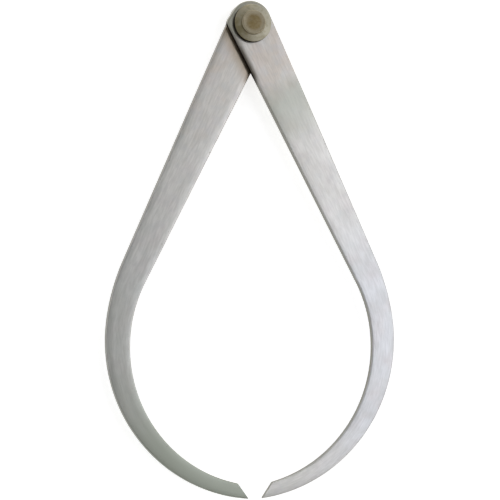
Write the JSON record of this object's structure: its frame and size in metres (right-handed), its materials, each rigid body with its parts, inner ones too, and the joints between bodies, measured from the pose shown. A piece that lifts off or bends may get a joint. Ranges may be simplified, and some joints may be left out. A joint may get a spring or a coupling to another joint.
{
  "type": "outside caliper",
  "caption": "Firm-joint outside caliper: flat bowed steel legs with eased edges pivot on a rivet clamped between turned washers, and their tips meet in one plane.",
  "frame": {"origin": "on the joint's axis, at the lowest face of the rear rivet head, on which the caliper lies", "axes": "+Z along the joint's axis, from the rear leg to the front leg; +Y from the tips to the joint; +X towards the bow of the front leg"},
  "size_m": [0.1888, 0.3149, 0.019],
  "materials": {
    "leg_steel": "ground steel with fine streaks along the leg and softly rounded edges",
    "washer_steel": "turned steel with fine concentric rings",
    "rivet_steel": "turned steel, browned in the middle of its head",
    "fibre": "dull vulcanised fibre"
  },
  "bodies": {
    "rear_half": {"rear_leg": "leg_steel", "rear_washer": "washer_steel", "rivet": "rivet_steel", "front_washer": "washer_steel", "friction_washer": "fibre"},
    "front_half": {"front_leg": "leg_steel"}
  },
  "joints": [
    {"name": "firm_joint", "type": "hinge", "parent": "rear_half", "child": "front_half", "pos_m": [0, 0, 0.0092], "axis": [0, 0, 1], "range_deg": [-1.7, 289]}
  ]
}
